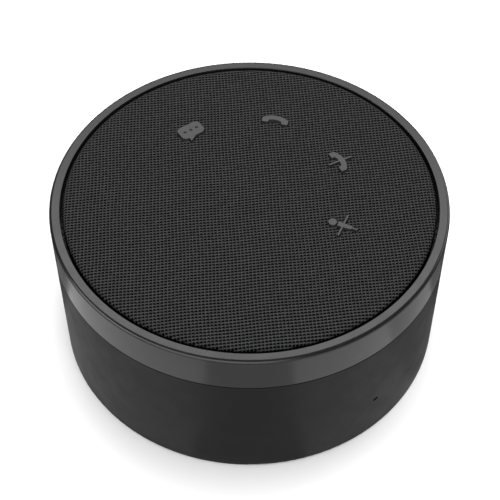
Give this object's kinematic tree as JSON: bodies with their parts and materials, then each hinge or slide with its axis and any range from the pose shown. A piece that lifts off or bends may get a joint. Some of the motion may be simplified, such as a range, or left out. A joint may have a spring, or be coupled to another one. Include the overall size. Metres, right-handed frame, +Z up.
{
  "type": "portable wireless speaker",
  "caption": "Round portable wireless speaker with a knitted top, raised icon keys, a turning volume ring and a closed tubular housing on a rubber foot.",
  "frame": {"origin": "centre of the rubber foot's resting face", "axes": "+Z up through the fabric top; -Y is the side facing the viewer, and the microphone holes are in the side wall"},
  "size_m": [0.12, 0.12, 0.0561],
  "materials": {
    "housing_plastic": "fine moulded texture, dark charcoal",
    "dial_plastic": "fine satin, graphite grey",
    "knit_fabric": "acoustic knit with small open loops",
    "key_plastic": "soft-touch grey",
    "inner_plastic": "moulded black",
    "slick_plastic": "low-friction black acetal",
    "soft_rubber": "matt",
    "foam": "closed-cell foam",
    "screw_steel": "zinc plated",
    "plated_steel": "nickel plated",
    "ferrite": "sintered",
    "board": "solder mask",
    "chips": "moulded epoxy",
    "paper_cone": "pressed paper pulp",
    "coil": "enamelled copper",
    "flex": "polyimide film",
    "cell_pouch": "laminated pouch"
  },
  "bodies": {
    "base": {"lower_housing": "housing_plastic", "base_cover": "inner_plastic", "foot_ring": "soft_rubber", "base_screws": "screw_steel", "upper_chassis": "inner_plastic", "chassis_screws": "screw_steel", "glide_ring": "slick_plastic", "encoder_body": "chips", "grille_frame": "inner_plastic", "grille_screws": "screw_steel", "fabric_cover": "knit_fabric", "button_board": "board", "tact_switches": "plated_steel", "button_flex": "flex", "driver_basket": "plated_steel", "driver_gasket": "foam", "driver_screws": "screw_steel", "driver_top_plate": "plated_steel", "driver_magnet": "ferrite", "driver_yoke": "plated_steel", "driver_spider": "paper_cone", "driver_surround": "soft_rubber", "speaker_lead": "flex", "speaker_chamber": "inner_plastic", "chamber_gasket": "foam", "main_board": "board", "board_screws": "screw_steel", "board_chips": "chips", "battery_pack": "cell_pouch", "battery_tray": "inner_plastic", "battery_lead": "flex", "usb_c_socket": "plated_steel", "power_switch": "plated_steel", "mic_boot_1": "soft_rubber", "mic_board_1": "board", "mic_boot_2": "soft_rubber", "mic_board_2": "board", "mic_boot_3": "soft_rubber", "mic_board_3": "board"},
    "dial": {"volume_dial": "dial_plastic", "dial_gear_ring": "slick_plastic"},
    "encoder": {"encoder_pinion": "slick_plastic", "encoder_shaft": "plated_steel"},
    "cone": {"voice_coil": "coil", "driver_cone": "paper_cone", "driver_dust_cap": "paper_cone"},
    "power": {"power_key": "key_plastic", "power_plunger": "chips"},
    "chat": {"chat_key": "key_plastic", "chat_plunger": "chips"},
    "answer": {"answer_key": "key_plastic", "answer_plunger": "chips"},
    "hang_up": {"hang_up_key": "key_plastic", "hang_up_plunger": "chips"},
    "mute": {"mute_key": "key_plastic", "mute_plunger": "chips"}
  },
  "joints": [
    {"name": "dial_spin", "type": "hinge", "parent": "base", "child": "dial", "pos_m": [0, 0, 0.049], "axis": [0, 0, 1], "continuous": true},
    {"name": "pinion_spin", "type": "hinge", "parent": "base", "child": "encoder", "pos_m": [-0.03564, 0.03564, 0.046], "axis": [0, 0, 1], "continuous": true},
    {"name": "cone_travel", "type": "slide", "parent": "base", "child": "cone", "axis": [0, 0, 1], "range_m": [-0.0015, 0.0015], "stiffness_N_per_m": 1000, "deforming": ["driver_surround", "driver_spider"]},
    {"name": "chat_press", "type": "slide", "parent": "base", "child": "chat", "axis": [0, 0, -1], "range_m": [0, 0.0004], "stiffness_N_per_m": 1500},
    {"name": "answer_press", "type": "slide", "parent": "base", "child": "answer", "axis": [0, 0, -1], "range_m": [0, 0.0004], "stiffness_N_per_m": 1500},
    {"name": "hang_up_press", "type": "slide", "parent": "base", "child": "hang_up", "axis": [0, 0, -1], "range_m": [0, 0.0004], "stiffness_N_per_m": 1500},
    {"name": "mute_press", "type": "slide", "parent": "base", "child": "mute", "axis": [0, 0, -1], "range_m": [0, 0.0004], "stiffness_N_per_m": 1500},
    {"name": "power_press", "type": "slide", "parent": "base", "child": "power", "axis": [-0.8755, -0.4833, 0], "range_m": [0, 0.0004], "stiffness_N_per_m": 1500}
  ],
  "couplings": [
    {"joint": "pinion_spin", "follows": "dial_spin", "ratio": 10}
  ]
}
